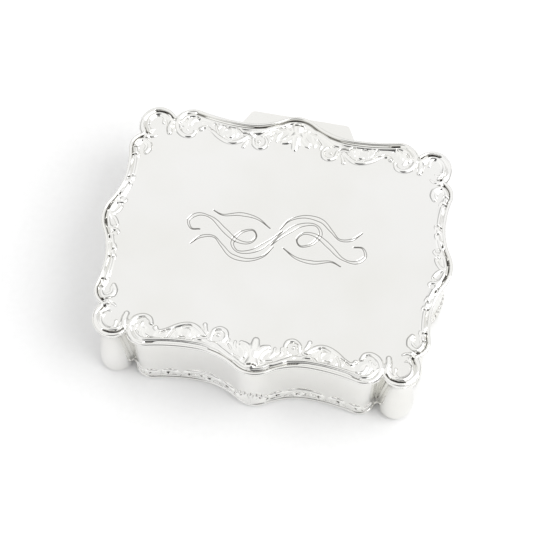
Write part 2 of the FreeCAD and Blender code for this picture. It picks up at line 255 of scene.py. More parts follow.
class Relief:
    """Height above a ground on a flat grid.  Every stroke lays a rounded ridge on it: the height
    at a place is the rise times one less the square of its distance from the stroke's line over
    the stroke's half width there.  Where ridges meet, the higher one shows."""

    floor = -0.45

    def __init__(self, u_range, v_range, step):
        self.u = np.arange(u_range[0], u_range[1] + step / 2, step)
        self.v = np.arange(v_range[0], v_range[1] + step / 2, step)
        self.height = np.full((len(self.u), len(self.v)), self.floor)
        self.dark = np.zeros_like(self.height)

    def stroke(self, points, widths, lift=RIDGE_LIFT):
        """Ridge along a curve, as high as lift times its width, with the widths given at evenly
        spread places on it."""
        line = smooth_path(points)
        share = np.linspace(0, 1, len(line))
        width = np.interp(share, np.linspace(0, 1, len(widths)), widths)
        self.ridge(line, width / 2, width * lift)

    def ridge(self, line, half, high):
        """Ridge along a line of points, with its half width and its height at each of them."""
        reach = half.max() * 1.25
        low = line.min(0) - reach
        top = line.max(0) + reach
        i0, i1 = np.searchsorted(self.u, (low[0], top[0]))
        j0, j1 = np.searchsorted(self.v, (low[1], top[1]))
        if i0 >= i1 or j0 >= j1:
            return
        u = self.u[i0:i1, None, None]
        v = self.v[None, j0:j1, None]
        away = (u - line[:, 0]) ** 2 + (v - line[:, 1]) ** 2
        ridge = (high * (1 - away / half**2)).max(2)
        self.height[i0:i1, j0:j1] = np.maximum(self.height[i0:i1, j0:j1], ridge)

    def ball(self, u, v, width):
        self.ridge(np.array([[u, v]]), np.array([width / 2]), np.array([width * BALL_LIFT]))

    def soften(self):
        """Rounds the creases: each point becomes a mean of its row's neighbours, then of its
        column's, weighted one, two, one."""
        wide = np.pad(self.height, 1, mode="reflect")
        across = (wide[:-2, 1:-1] + 2 * self.height + wide[2:, 1:-1]) / 4
        wide = np.pad(across, 1, mode="reflect")
        self.height = (wide[1:-1, :-2] + 2 * across + wide[1:-1, 2:]) / 4

    def sink(self, line, width, depth):
        """Groove along a line, cut into what is already there and kept as dark, for painted shade and
        tarnish.
        """
        low = line.min(0) - width
        top = line.max(0) + width
        i0, i1 = np.searchsorted(self.u, (low[0], top[0]))
        j0, j1 = np.searchsorted(self.v, (low[1], top[1]))
        u = self.u[i0:i1, None, None]
        v = self.v[None, j0:j1, None]
        away = np.sqrt(((u - line[:, 0]) ** 2 + (v - line[:, 1]) ** 2).min(2))
        share = np.clip(1 - away / (width / 2), 0, 1)
        share = share * share * (3 - 2 * share)
        self.height[i0:i1, j0:j1] -= depth * share
        self.dark[i0:i1, j0:j1] = np.maximum(self.dark[i0:i1, j0:j1], share)


def shell_mesh(relief, place, keep, under):
    """Closed shell over the kept cells of a relief: the grid's points put in space by place(u, v,
    height), the same points at the under height, and a wall round every edge of the kept cells."""
    u, v = np.meshgrid(relief.u, relief.v, indexing="ij")
    top = place(u, v, relief.height)
    low = place(u, v, np.full(u.shape, under))
    rows, columns = u.shape
    index = np.arange(rows * columns).reshape(rows, columns)
    i, j = np.nonzero(keep)
    a = index[i, j]
    b = index[i + 1, j]
    c = index[i + 1, j + 1]
    d = index[i, j + 1]
    count = rows * columns
    upper = np.stack([a, b, c, d], 1)
    lower = upper[:, ::-1] + count
    padded = np.pad(keep, 1)
    walls = []
    for di, dj, first, second in ((-1, 0, d, a), (1, 0, b, c), (0, -1, a, b), (0, 1, c, d)):
        bare = ~padded[i + 1 + di, j + 1 + dj]
        walls.append(np.stack([second, first, first + count, second + count], 1)[bare])
    faces = np.concatenate([upper, lower] + walls)
    points = np.concatenate([top.reshape(-1, 3), low.reshape(-1, 3)])
    used, faces = np.unique(faces, return_inverse=True)
    return points[used], faces.reshape(-1, 4), used


# ---------------------------------------------------------------- materials


def feed(tree, value, socket):
    """Puts a number, a colour or another node's output into a socket."""
    if isinstance(value, (int, float, tuple)):
        socket.default_value = value
    else:
        tree.links.new(value, socket)


def ramp_node(tree, source, stops):
    """Colour ramp of (place, value) or (place, colour) stops."""
    node = tree.nodes.new("ShaderNodeValToRGB")
    elements = node.color_ramp.elements
    while len(elements) < len(stops):
        elements.new(0.5)
    for element, (place, value) in zip(elements, stops):
        element.position = place
        element.color = value if isinstance(value, tuple) else (value, value, value, 1)
    tree.links.new(source, node.inputs["Fac"])
    return node.outputs["Color"]


def mix_node(tree, kind, share, first, second):
    """The first colour changed by the second, mixed or multiplied, by a share from 0 to 1."""
    node = tree.nodes.new("ShaderNodeMix")
    node.data_type = "RGBA"
    node.blend_type = kind
    for socket, value in ((node.inputs[0], share), (node.inputs[6], first), (node.inputs[7], second)):
        feed(tree, value, socket)
    return node.outputs[2]


class Shader:
    """Short words for building one material's nodes."""

    def __init__(self, name):
        self.material = bpy.data.materials.new(name)
        self.material.use_nodes = True
        self.tree = self.material.node_tree
        self.surface = self.tree.nodes["Principled BSDF"]
        self.place = self.tree.nodes.new("ShaderNodeTexCoord").outputs["Object"]

    def set(self, **values):
        for key, value in values.items():
            self.surface.inputs[key.replace("_", " ")].default_value = value

    def link(self, source, target):
        self.tree.links.new(source, self.surface.inputs[target])

    def noise(self, scale, detail, stretch=None, turn=0.0):
        """Noise on the piece's own coordinates, drawn out along an axis if stretch is given."""
        node = self.tree.nodes.new("ShaderNodeTexNoise")
        node.inputs["Scale"].default_value = scale
        node.inputs["Detail"].default_value = detail
        node.inputs["Roughness"].default_value = 0.55
        source = self.place
        if stretch:
            mapping = self.tree.nodes.new("ShaderNodeMapping")
            mapping.inputs["Scale"].default_value = stretch
            mapping.inputs["Rotation"].default_value = (0, 0, turn)
            self.tree.links.new(source, mapping.inputs["Vector"])
            source = mapping.outputs["Vector"]
        self.tree.links.new(source, node.inputs["Vector"])
        return node.outputs["Fac"]

    def ramp(self, source, *stops):
        return ramp_node(self.tree, source, stops)

    def span(self, source, low, high):
        """The source from 0..1 brought to low..high."""
        node = self.tree.nodes.new("ShaderNodeMapRange")
        node.inputs["To Min"].default_value = low
        node.inputs["To Max"].default_value = high
        self.tree.links.new(source, node.inputs["Value"])
        return node.outputs["Result"]

    def sum(self, first, second, operation="ADD"):
        node = self.tree.nodes.new("ShaderNodeMath")
        node.operation = operation
        for socket, value in zip(node.inputs, (first, second)):
            feed(self.tree, value, socket)
        return node.outputs["Value"]

    def attribute(self, name):
        node = self.tree.nodes.new("ShaderNodeAttribute")
        node.attribute_name = name
        return node.outputs["Fac"]

    def mix(self, share, first, second):
        return mix_node(self.tree, "MIX", share, first, second)

    def multiply(self, share, first, second):
        return mix_node(self.tree, "MULTIPLY", share, first, second)

    def bump(self, source, strength, distance):
        node = self.tree.nodes.new("ShaderNodeBump")
        node.inputs["Strength"].default_value = strength
        node.inputs["Distance"].default_value = distance
        self.tree.links.new(source, node.inputs["Height"])
        self.link(node.outputs["Normal"], "Normal")


SILVER = (0.87, 0.866, 0.85, 1)
CLOUDED_SILVER = (0.835, 0.83, 0.80, 1)
# Near-black for the tarnish and painted shade in hollows, grooves, pits and cuts.
TARNISH_AND_SHADE = (0.10, 0.094, 0.083, 1)


def silver_plate(name, recessed=False):
    """Polished silver plate: fine hairlines two ways from wiping, cloudy changes in gloss, and a dark
    colour in the hollows of cast work: tarnish where the polishing cloth doesn't reach, and painted shade."""
    shader = Shader(name)
    shader.set(Metallic=1.0)
    cloud = shader.noise(26, 3)
    hair = shader.sum(
        shader.ramp(shader.noise(900, 2, (1, 0.03, 1), 0.5), (0.60, 0.0), (0.72, 1.0)),
        shader.ramp(shader.noise(700, 2, (0.03, 1, 1), 0.25), (0.62, 0.0), (0.74, 1.0)),
    )
    rough = shader.sum(shader.span(cloud, 0.05, 0.11), shader.sum(hair, 0.03, "MULTIPLY"))
    shader.link(rough, "Roughness")
    tone = shader.mix(shader.ramp(cloud, (0.35, 0.0), (0.65, 1.0)), SILVER, CLOUDED_SILVER)
    # Painted shade with tarnish: where the stored hollow value is high, the colour is mixed towards
    # near-black, standing for shade in hollows, grooves, pits and cuts as well as tarnish.
    if recessed:
        hollow = shader.ramp(shader.attribute("hollow"), (0.3, 0.0), (0.95, 1.0))
        patchy = shader.sum(hollow, shader.span(shader.noise(420, 3), 0.8, 1.0), "MULTIPLY")
        tone = shader.mix(patchy, tone, TARNISH_AND_SHADE)
    shader.link(tone, "Base Color")
    height = shader.sum(shader.noise(14, 1), shader.sum(hair, 0.012, "MULTIPLY"))
    shader.bump(height, 0.12, 0.0004)
    return shader.material


def steel_pin():
    """Drawn steel wire with faint lines along it."""
    shader = Shader("drawn steel")
    shader.set(Metallic=1.0)
    drawn = shader.noise(2500, 2, (0.02, 1, 1))
    shader.link(shader.ramp(drawn, (0.3, (0.5, 0.5, 0.52, 1)), (0.7, (0.68, 0.68, 0.7, 1))), "Base Color")
    shader.link(shader.span(drawn, 0.22, 0.36), "Roughness")
    shader.bump(drawn, 0.2, 0.00003)
    return shader.material


def velvet():
    """Midnight-blue velvet: short pile that lies in soft brushed patches, with a pale sheen."""
    shader = Shader("midnight velvet")
    shader.set(Roughness=0.95, Sheen_Weight=0.55, Sheen_Roughness=0.35, Sheen_Tint=(0.45, 0.52, 0.8, 1))
    brushed = shader.noise(70, 3, (1, 0.55, 1), 0.6)
    pile = shader.noise(5200, 2)
    tone = shader.ramp(brushed, (0.32, (0.006, 0.011, 0.045, 1)), (0.68, (0.018, 0.03, 0.10, 1)))
    speck = shader.ramp(pile, (0.3, (0.55, 0.55, 0.6, 1)), (0.7, (1.15, 1.15, 1.2, 1)))
    shader.link(shader.multiply(0.7, tone, speck), "Base Color")
    shader.bump(shader.sum(pile, shader.sum(brushed, 1.6, "MULTIPLY")), 0.5, 0.0002)
    return shader.material


def felt():
    """Grey-black pressed felt with matted fibres."""
    shader = Shader("pressed felt")
    shader.set(Roughness=1.0, Sheen_Weight=0.25, Sheen_Roughness=0.6)
    fibre = shader.noise(1800, 4, (1, 0.25, 1), 0.8)
    cross = shader.noise(1500, 4, (0.25, 1, 1), 0.3)
    both = shader.sum(fibre, cross, "MULTIPLY")
    tone = shader.ramp(both, (0.12, (0.02, 0.02, 0.025, 1)), (0.45, (0.11, 0.11, 0.125, 1)))
    shader.link(tone, "Base Color")
    shader.bump(both, 0.6, 0.0003)
    return shader.material


def grey_board():
    """Pressed grey board, flecked with fibres."""
    shader = Shader("grey board")
    shader.set(Roughness=0.85)
    fleck = shader.noise(1400, 4, (1, 0.4, 1))
    shader.link(shader.ramp(fleck, (0.3, (0.30, 0.27, 0.22, 1)), (0.7, (0.52, 0.47, 0.39, 1))), "Base Color")
    shader.bump(fleck, 0.3, 0.0001)
    return shader.material


PLAIN_SILVER = silver_plate("silver plate")
CAST_SILVER = silver_plate("cast silver plate", recessed=True)
STEEL = steel_pin()
VELVET = velvet()
FELT = felt()
BOARD = grey_board()
FINISHES = {"silver_plate": PLAIN_SILVER, "steel_pin": STEEL, "velvet": VELVET, "felt": FELT, "card": BOARD}

for part in frame["record"]["subparts"]:
    node = frame["nodes"][part["node"]]
    node.data.materials.clear()
    node.data.materials.append(FINISHES[part["material_slot"]])


# ---------------------------------------------------------------- lid: scroll border

RELIEF_STEP = 0.18
RELIEF_SINK = -0.5

# Strokes of one quarter of the border, as points and the widths along them.
CORNER_SCROLL = [
    ([(46.3, 36.4), (46.6, 38.4), (46.3, 41.4), (47.9, 44.2), (51.0, 45.0), (54.4, 43.6), (56.7, 40.2),
      (56.7, 36.8), (55.6, 34.8), (53.8, 33.8), (51.9, 33.7), (50.8, 34.4)],
     [2.2, 2.9, 2.2, 2.0, 2.1, 2.2, 2.3, 2.1, 1.9, 1.7, 1.5, 1.1]),
    ([(49.3, 39.9), (49.6, 42.2), (51.9, 43.1), (54.3, 42.0), (55.0, 39.4), (54.6, 37.2), (53.2, 36.3),
      (52.1, 36.8)], [1.3, 1.2, 1.2, 1.2, 1.3, 1.5, 1.4, 1.0]),
    ([(47.4, 39.6), (47.9, 41.4), (49.0, 42.8)], [0.9, 1.4, 0.8]),
]
LONG_VOLUTE = [
    ([(38.6, 46.1), (41.9, 45.5), (43.9, 43.2), (44.2, 40.2), (42.9, 37.5), (40.4, 36.2), (38.0, 36.7),
      (36.9, 38.6)], [1.4, 1.8, 2.2, 2.3, 2.3, 2.2, 2.0, 1.6]),
    ([(41.6, 39.2), (42.2, 41.4), (41.4, 44.0)], [1.0, 1.5, 1.0]),
    ([(40.0, 38.6), (40.6, 41.0), (39.6, 44.0)], [1.0, 1.6, 1.0]),
    ([(39.3, 41.0), (38.4, 43.2), (35.4, 44.4)], [1.4, 1.7, 0.9]),
]
SWAG = [
    ([(35.6, 40.0), (33.6, 41.0), (31.2, 40.0), (28.4, 38.0), (25.4, 36.7), (22.4, 36.6), (19.8, 38.0),
      (17.6, 40.0), (15.4, 40.8)], [1.5, 1.7, 1.7, 1.8, 1.9, 2.0, 2.0, 1.8, 1.0]),
    ([(18.5, 35.6), (18.1, 36.8), (17.3, 38.4)], [1.8, 1.4, 1.2]),
    ([(31.2, 41.6), (29.9, 42.6), (28.0, 43.2)], [1.0, 1.6, 0.8]),
    ([(29.0, 40.0), (28.9, 41.6), (27.2, 43.0)], [1.0, 1.8, 0.9]),
    ([(26.9, 39.3), (26.4, 41.0), (24.6, 42.8)], [1.0, 1.8, 0.9]),
    ([(25.6, 38.6), (23.6, 38.9), (23.2, 40.6), (24.4, 41.8)], [1.0, 1.6, 1.6, 1.0]),
    ([(21.9, 39.0), (21.6, 40.8), (22.6, 42.6)], [1.0, 1.6, 0.9]),
    ([(21.2, 42.4), (19.6, 41.2), (17.4, 41.4), (15.2, 42.6)], [1.2, 2.0, 2.0, 1.2]),
]
CREST_LEAVES = [
    ([(15.6, 39.6), (15.0, 37.3), (13.0, 36.1), (11.0, 36.8), (10.4, 38.8), (11.4, 40.6)],
     [1.4, 1.9, 2.1, 2.0, 1.7, 1.3]),
    ([(17.4, 42.0), (14.2, 42.2), (10.6, 44.2), (6.6, 46.2), (3.2, 46.9)], [1.2, 2.2, 2.5, 1.9, 0.9]),
    ([(13.0, 40.8), (10.8, 42.4), (7.6, 44.4)], [1.0, 1.5, 0.8]),
    ([(9.3, 39.4), (9.4, 41.2), (7.8, 43.6)], [1.0, 1.7, 0.9]),
    ([(7.0, 39.8), (6.8, 42.0), (4.8, 44.8)], [1.0, 1.8, 0.9]),
    ([(4.9, 41.0), (3.2, 42.6), (2.8, 44.6), (4.0, 46.2)], [1.5, 1.8, 1.6, 1.0]),
]
PALMETTE = [
    ([(4.8, 39.8), (3.0, 40.6), (1.4, 42.4)], [1.6, 2.6, 3.4]),
    ([(0.0, 38.2), (0.0, 40.0), (0.0, 42.8)], [2.6, 3.6, 5.0]),
    ([(0.0, 42.4), (0.0, 44.6), (0.0, 47.0)], [5.0, 3.8, 5.2]),
    ([(5.2, 41.8), (3.4, 42.4), (2.6, 44.2), (3.4, 46.2)], [1.0, 1.4, 1.5, 1.1]),
]
PALMETTE_LIFT = 0.24
SHORT_SIDE = [
    ([(60.2, 0.0), (58.6, 1.0), (57.4, 2.6), (57.1, 3.9), (58.2, 4.5)], [1.8, 1.5, 1.5, 1.4, 1.0]),
    ([(60.4, 4.4), (58.4, 5.4), (56.8, 5.6), (55.9, 6.4), (56.5, 7.3)], [1.6, 2.0, 1.7, 1.3, 0.9]),
    ([(58.2, 7.0), (59.0, 8.4), (58.6, 9.8), (57.2, 10.8), (56.1, 11.8), (55.6, 12.9), (56.4, 13.7)],
     [1.0, 1.5, 1.7, 1.6, 1.5, 1.2, 0.9]),
    ([(58.4, 11.6), (57.8, 13.6), (56.4, 14.8), (55.3, 15.5), (55.0, 16.3), (55.8, 17.0)],
     [1.0, 1.5, 1.6, 1.4, 1.1, 0.8]),
    ([(57.8, 15.2), (57.4, 16.8), (58.0, 20.0), (57.8, 22.0), (56.7, 24.0), (55.4, 24.8)],
     [0.9, 1.1, 1.3, 1.3, 1.4, 1.1]),
    ([(57.2, 24.0), (57.2, 25.6), (56.3, 26.3), (55.3, 25.5)], [0.9, 1.3, 1.4, 1.0]),
    ([(57.5, 27.2), (57.6, 28.6), (56.9, 29.3), (56.1, 28.3)], [0.9, 1.3, 1.3, 0.9]),
    ([(53.1, 26.8), (52.3, 28.4), (52.6, 30.3), (54.0, 31.5), (55.6, 31.7), (56.8, 31.0)],
     [2.0, 2.3, 2.3, 2.2, 1.9, 1.3]),
    ([(53.7, 27.8), (53.5, 29.4), (54.8, 30.6)], [1.2, 1.2, 0.8]),
]

# Pits of the border: a line along each and its width.
PITS = [
    ([(39.6, 37.1), (41.0, 37.9), (41.9, 39.4)], 0.95), ([(36.7, 39.5), (37.6, 39.2)], 0.8),
    ([(41.0, 43.0), (41.5, 42.1)], 0.7), ([(37.0, 44.2), (37.3, 43.8)], 0.5),
    ([(46.2, 42.4), (47.6, 43.8), (50.4, 44.5), (53.0, 44.2)], 0.8),
    ([(51.2, 34.9), (53.2, 34.4), (55.1, 35.3)], 0.85), ([(52.2, 37.1), (53.1, 37.3), (54.2, 38.0)], 0.8),
    ([(52.2, 31.6), (53.6, 32.4), (56.2, 32.7)], 0.75), ([(56.7, 28.3), (57.6, 28.1)], 0.75),
    ([(56.3, 25.3), (57.6, 25.0)], 0.65), ([(23.2, 37.1), (24.4, 37.3), (25.9, 38.2)], 0.8),
    ([(16.8, 40.1), (18.2, 40.6), (19.4, 40.5)], 1.1), ([(20.3, 41.1), (21.7, 42.1)], 0.75),
    ([(28.6, 39.5), (29.5, 40.8), (30.2, 42.5)], 0.85), ([(30.3, 39.9), (31.3, 40.2)], 0.6),
    ([(32.0, 40.7), (33.0, 41.3)], 0.75), ([(24.6, 41.7), (26.4, 41.8)], 0.65),
    ([(13.3, 37.1), (14.3, 37.3)], 0.85),
    ([(11.6, 39.7), (12.5, 40.1)], 0.65), ([(12.8, 40.4), (13.5, 40.9)], 0.6),
    ([(8.0, 42.8), (9.2, 41.4)], 0.8), ([(4.6, 45.4), (6.8, 44.8)], 0.6), ([(3.0, 45.6), (3.2, 45.9)], 0.8),
    ([(0.4, 47.4), (1.4, 47.5)], 0.7),
    ([(60.4, 4.8), (61.0, 3.4), (61.4, 2.0)], 0.5), ([(57.2, 3.9), (57.4, 4.0)], 0.8),
    ([(56.8, 7.2), (57.7, 7.0)], 1.2), ([(58.8, 8.4), (58.6, 9.2)], 0.5),
    ([(56.2, 13.1), (56.5, 13.4)], 0.75),
    ([(55.5, 16.5), (55.8, 16.4)], 0.8), ([(57.0, 16.2), (57.3, 15.9)], 0.5),
]
PIT_DEPTH = 0.8
PIT_SPREAD = 1.3

# Balls: where each lies and its width.
BALLS = [(49.2, 39.9, 1.3), (37.1, 38.9, 1.9), (35.2, 39.8, 1.9), (13.3, 38.6, 1.6)]

# Plain moulding beside the groove, as setback, width and rise, and the low ground of the scrolls.
MOULDINGS = [(2.8, 2.2, 0.35), (2.7, 1.5, 0.75)]
GROUND = [
    ([(33.0, 43.0), (25.0, 41.0), (17.0, 42.0)], [5.0, 7.5, 4.0]),
    ([(12.0, 42.0), (4.0, 44.0), (0.0, 44.0)], [4.0, 6.0, 6.0]),
    ([(40.0, 42.5), (42.0, 41.0)], [6.0, 5.0]),
]
GROUND_LIFT = 0.05


def rim_moulding(r, setback, width, rise):
    """Plain bead just inside the groove, all round the border."""
    line = quarter_line(setback, True)
    dense = np.concatenate([line[:-1], (line[:-1] + line[1:]) / 2])
    r.ridge(dense, np.full(len(dense), width / 2), np.full(len(dense), rise))


def lid_relief():
    """Height of the border over one quarter of the lid, with both axes folded to positive."""
    r = Relief((0.0, HALF_LENGTH), (0.0, HALF_DEPTH), RELIEF_STEP)
    for setback, width, rise in MOULDINGS:
        rim_moulding(r, setback, width, rise)
    for points, widths in GROUND:
        r.stroke(points, widths, GROUND_LIFT)
    for points, widths in CORNER_SCROLL + LONG_VOLUTE + SWAG + CREST_LEAVES + SHORT_SIDE:
        r.stroke(points, widths)
    for points, widths in PALMETTE:
        r.stroke(points, widths, PALMETTE_LIFT)
    for u, v, width in BALLS:
        r.ball(u, v, width)
    r.soften()
    for points, width in PITS:
        r.sink(smooth_path(points), width * PIT_SPREAD, PIT_DEPTH)
    r.height = np.maximum(r.height, r.floor)
    return r


HOLLOW_REACH = 4
HOLLOW_FULL = 0.45
HOLLOW_SHARE = 0.85
PIT_SHARE = 1.6
STANDS_OUT = -0.1


def hollowness(height):
    """How far each grid point lies under the mean of its surroundings, from 0 to 1 at full."""
    mean = height.copy()
    for axis in (0, 1):
        total = np.zeros_like(mean)
        for shift in range(-HOLLOW_REACH, HOLLOW_REACH + 1):
            total += np.roll(mean, shift, axis)
        mean = total / (2 * HOLLOW_REACH + 1)
    return np.clip((mean - height) / HOLLOW_FULL, 0, 1)


def store_hollow(piece, hollow):
    """Keeps each point's hollowness on the mesh, where the silver's tarnish and painted shade read it."""
    layer = piece.data.attributes.new("hollow", "FLOAT", "POINT")
    layer.data.foreach_set("value", np.asarray(hollow, np.float32))


def add_relief_piece(name, relief, place, keep, body, replaced):
    """One cast piece from a relief, with its hollows and pits stored for the tarnish and painted shade."""
    points, faces, used = shell_mesh(relief, place, keep, RELIEF_SINK)
    piece = make_piece(name, points, faces.tolist(), body, CAST_SILVER, 60.0, replaced)
    # Painted shade with tarnish: hollows and pits get a darkening share for the silver's colour.
    hollow = np.maximum(HOLLOW_SHARE * hollowness(relief.height), np.minimum(PIT_SHARE * relief.dark, 1.0))
    store_hollow(piece, np.tile(hollow.ravel(), 2)[used])
    return piece


def kept_cells(height):
    """Cells where the relief stands out of its ground, with one row of cells round them. Cells that
    would meet only at a corner get their two neighbours as well."""
    out = height > STANDS_OUT
    cells = out[:-1, :-1] | out[1:, :-1] | out[:-1, 1:] | out[1:, 1:]
    low, high = slice(None, -1), slice(1, None)
    corners = [(low, low), (high, low), (low, high), (high, high)]
    loose = np.ones(1, bool)
    while loose.any():
        a, b, c, d = (cells[corner] for corner in corners)
        loose = (a & d & ~b & ~c) | (b & c & ~a & ~d)
        for corner in corners:
            cells[corner] |= loose
    return cells


def add_lid_border():
    """The border's four quarters, one drawing mirrored, no higher than the frame's border."""
    relief = lid_relief()
    keep = kept_cells(relief.height)
    relief.height = np.minimum(relief.height, RELIEF_TOP - LID_TOP)
    for end, sign_y in (("front", -1), ("rear", 1)):
        for side, sign_x in (("left", -1), ("right", 1)):
            def place(u, v, height):
                return np.stack([sign_x * u, sign_y * v, LID_TOP + height], 2)
            name = "scroll_border_" + end + "_" + side
            piece = add_relief_piece(name, relief, place, keep, "lid", "lid_border")
            if sign_x * sign_y < 0:
                piece.data.flip_normals()


add_lid_border()


# ---------------------------------------------------------------- lid: edge bead

GROOVE_BOTTOM = (BEAD_WIDTH + 0.4, LID_TOP - 0.45)
GROOVE_EDGE = BEAD_WIDTH + 0.85
BEAD_SPRING = 0.75
LIP_RADIUS = 0.3
# Painted shade under the bead's lip: how dark each lip point is drawn, giving a dark line below the bead.
LIP_PAINTED_SHADE = [0.0, 0.4, 0.9, 0.8]


def add_edge_bead():
    """Rounded bead round the lid edge: flat below, its top the half of an ellipse, with the groove inside it
    cut to a V. The lip under it and the groove are darkened as painted shade."""
    half = BEAD_WIDTH / 2
    spring = LID_BOTTOM + BEAD_SPRING
    crown = arc_points((half, spring), (half, BEAD_TOP - spring), 180, 0, 9)
    lip = arc_points((LIP_RADIUS, LID_BOTTOM + LIP_RADIUS), (LIP_RADIUS, LIP_RADIUS), 270, 180, 4)
    profile = [(GROOVE_EDGE, LID_BOTTOM)] + lip + crown + [GROOVE_BOTTOM, (GROOVE_EDGE, LID_TOP)]
    # Painted shade: the lip under the bead and the groove get dark values, while the crown and the flat
    # bottom stay bright.
    hollow = [0.0] + LIP_PAINTED_SHADE + [0.0] * (len(crown) - 1) + [1.0, 1.0, 1.0]
    grid = carried(profile)
    rows, columns = grid.shape[:2]
    piece = make_piece("edge_bead", grid.reshape(-1, 3), loop_faces(rows, columns), "lid",
                       CAST_SILVER, 50.0, "lid_edge_bead")
    store_hollow(piece, np.tile(hollow, rows))


add_edge_bead()


# ---------------------------------------------------------------- lid: engraved plate

ENGRAVED_LOW = (-36.0, -11.0)
ENGRAVED_HIGH = (36.0, 14.0)
ENGRAVED_STEP = 0.17
FLOURISH_CENTRE = (0.0, 1.5)
CUT_WIDTH = 0.72
CUT_DEPTH = 0.15
CROSSING_DEPTH = 1.3 * CUT_DEPTH

# Half of a flourish that turns on its centre: points from the centre out, and how far apart the
# two cut lines of the swelling stroke lie along it.
FLOURISH = [
    ([(-1.5, -3.0), (2.0, 1.5), (7.0, 6.2), (12.5, 7.6), (15.2, 4.6), (13.0, 0.2), (9.0, -1.6), (7.2, 0.8),
      (9.4, 3.6), (14.0, 3.4), (19.0, 0.2), (24.0, -3.6), (29.0, -4.4), (32.2, -1.6), (30.8, 1.6),
      (27.6, 1.4)],
     [0.2, 0.9, 1.7, 1.2, 0.6, 1.2, 0.7, 0.3, 0.6, 1.2, 1.7, 1.4, 0.6, 1.2, 0.7, 0.0]),
    ([(0.6, 3.6), (3.4, 7.8), (8.6, 10.2), (14.6, 9.6), (18.8, 6.2), (22.2, 3.4), (26.6, 4.2), (29.8, 7.4)],
     [0.0, 0.5, 1.0, 1.5, 1.1, 0.5, 0.9, 0.0]),
    ([(3.0, -3.4), (8.2, -6.4), (14.4, -7.0), (20.4, -5.6), (24.2, -6.8)], [0.0, 0.7, 1.3, 0.7, 0.0]),
]


def beside(line, apart):
    """The two lines that lie half the given distance each side of a line, along its normals."""
    normal = normals_of(line)
    return line + normal * apart[:, None] / 2, line - normal * apart[:, None] / 2


def engrave(relief):
    """Cuts both lines of every stroke of the flourish, and the same turned half way round."""
    for points, spread in FLOURISH:
        line = smooth_path(points)
        share = np.linspace(0, 1, len(line))
        apart = np.interp(share, np.linspace(0, 1, len(spread)), spread)
        for side in beside(line, apart):
            for turn in (1, -1):
                relief.sink(side * turn + FLOURISH_CENTRE, CUT_WIDTH, CUT_DEPTH)


def add_lid_plate():
    """Flat lid sheet with the flourish cut into it: a fine grid in the middle, one ring of faces
    from its edge to the outline at the same angle from the centre, and a flat underside."""
    relief = Relief((ENGRAVED_LOW[0], ENGRAVED_HIGH[0]), (ENGRAVED_LOW[1], ENGRAVED_HIGH[1]), ENGRAVED_STEP)
    relief.height[:] = 0.0
    engrave(relief)
    relief.height = np.maximum(relief.height, -CROSSING_DEPTH)
    u, v = np.meshgrid(relief.u, relief.v, indexing="ij")
    rows, columns = u.shape
    index = np.arange(rows * columns).reshape(rows, columns)
    inner = np.stack([index[:-1, :-1], index[1:, :-1], index[1:, 1:], index[:-1, 1:]], 2).reshape(-1, 4)
    edge = np.concatenate([index[:-1, 0], index[-1, :-1], index[:0:-1, -1], index[0, :0:-1]])
    points = np.stack([u, v, LID_TOP + relief.height], 2).reshape(-1, 3)
    angle = np.arctan2(points[edge, 1], points[edge, 0])
    rim = outline(GROOVE_EDGE - 0.05)
    rim_angle = np.arctan2(rim[:, 1], rim[:, 0])
    order = np.argsort(rim_angle)
    reach = np.interp(angle, rim_angle[order], np.hypot(rim[order, 0], rim[order, 1]), period=2 * np.pi)
    ring = np.column_stack([reach * np.cos(angle), reach * np.sin(angle)])
    count = len(edge)
    top_ring = np.column_stack([ring, np.full(count, LID_TOP)])
    low_ring = np.column_stack([ring, np.full(count, LID_BOTTOM)])
    first = rows * columns
    here = np.arange(count)
    after = (here + 1) % count
    bridge = np.stack([edge[here], first + here, first + after, edge[after]], 1)
    wall = np.stack([first + here, first + count + here, first + count + after, first + after], 1)
    faces = inner.tolist() + bridge.tolist() + wall.tolist() + [(first + count + here[::-1]).tolist()]
    points = np.concatenate([points, top_ring, low_ring])
    piece = make_piece("engraved_lid", points, faces, "lid", CAST_SILVER, 50.0, "lid_plate")
    # Painted shade with tarnish: the engraved lines are darkened by their depth.
    cut = np.zeros(len(points))
    cut[:first] = np.clip(-relief.height.ravel() / CUT_DEPTH, 0, 1)
    store_hollow(piece, cut)


add_lid_plate()


# ---------------------------------------------------------------- body: cast border round the foot

